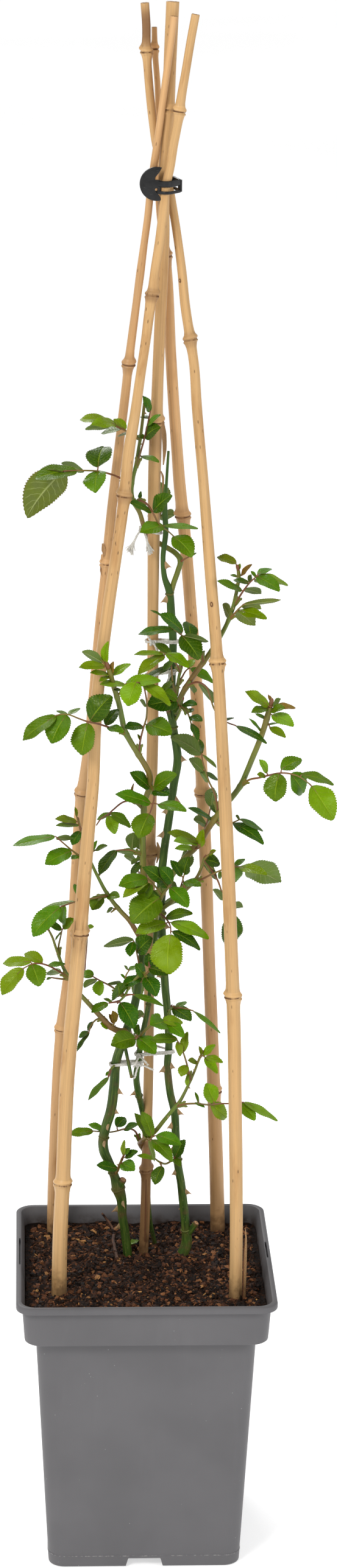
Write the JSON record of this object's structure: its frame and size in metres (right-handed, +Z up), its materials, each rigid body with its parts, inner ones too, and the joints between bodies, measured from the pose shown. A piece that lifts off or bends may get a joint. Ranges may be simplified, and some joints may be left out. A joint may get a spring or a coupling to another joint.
{
  "type": "potted climbing rose",
  "caption": "Young climbing rose with thorny green stems and cut-edged leaves, tied to a tent of bamboo canes in a square tapered plastic pot of soil.",
  "frame": {"origin": "centre of the pot's foot, on the surface it stands on", "axes": "+Z up along the plant, +Y towards the back of the square pot, +X to its right"},
  "size_m": [0.2493, 0.2, 1.2007],
  "materials": {
    "pot_plastic": "satin",
    "potting_soil": "rough",
    "bamboo_pale": "satin",
    "bamboo_brown": "satin",
    "rose_stem": "satin",
    "clip_plastic": "satin",
    "twine": "matte",
    "dead_twig": "matte",
    "rose_leaf": "satin"
  },
  "bodies": {
    "root": {"pot": "pot_plastic", "soil": "potting_soil", "cane_front_left": "bamboo_pale", "cane_centre": "bamboo_pale", "cane_front_right": "bamboo_pale", "cane_back_left": "bamboo_brown", "cane_back_right": "bamboo_brown", "rose_stem_left": "rose_stem", "rose_stem_centre": "rose_stem", "rose_stem_right": "rose_stem", "cane_clip": "clip_plastic", "tie_lower_left": "twine", "tie_lower_right": "twine", "tie_middle": "twine", "tie_upper": "twine", "tie_top": "twine", "fallen_twig": "dead_twig", "fallen_leaf": "rose_leaf", "shoot_top": "rose_leaf", "shoot_upper_right": "rose_leaf", "shoot_upper_middle": "rose_leaf", "shoot_middle_fan": "rose_leaf", "shoot_upper_left": "rose_leaf", "shoot_right": "rose_leaf", "shoot_right_inner": "rose_leaf", "shoot_heart": "rose_leaf", "shoot_left": "rose_leaf", "shoot_low_left": "rose_leaf", "shoot_lower_left": "rose_leaf", "shoot_low_centre": "rose_leaf", "shoot_low_middle": "rose_leaf", "shoot_lower_right": "rose_leaf", "shoot_base_right": "rose_leaf", "shoot_base_left": "rose_leaf", "shoot_side_left": "rose_leaf"}
  },
  "joints": []
}
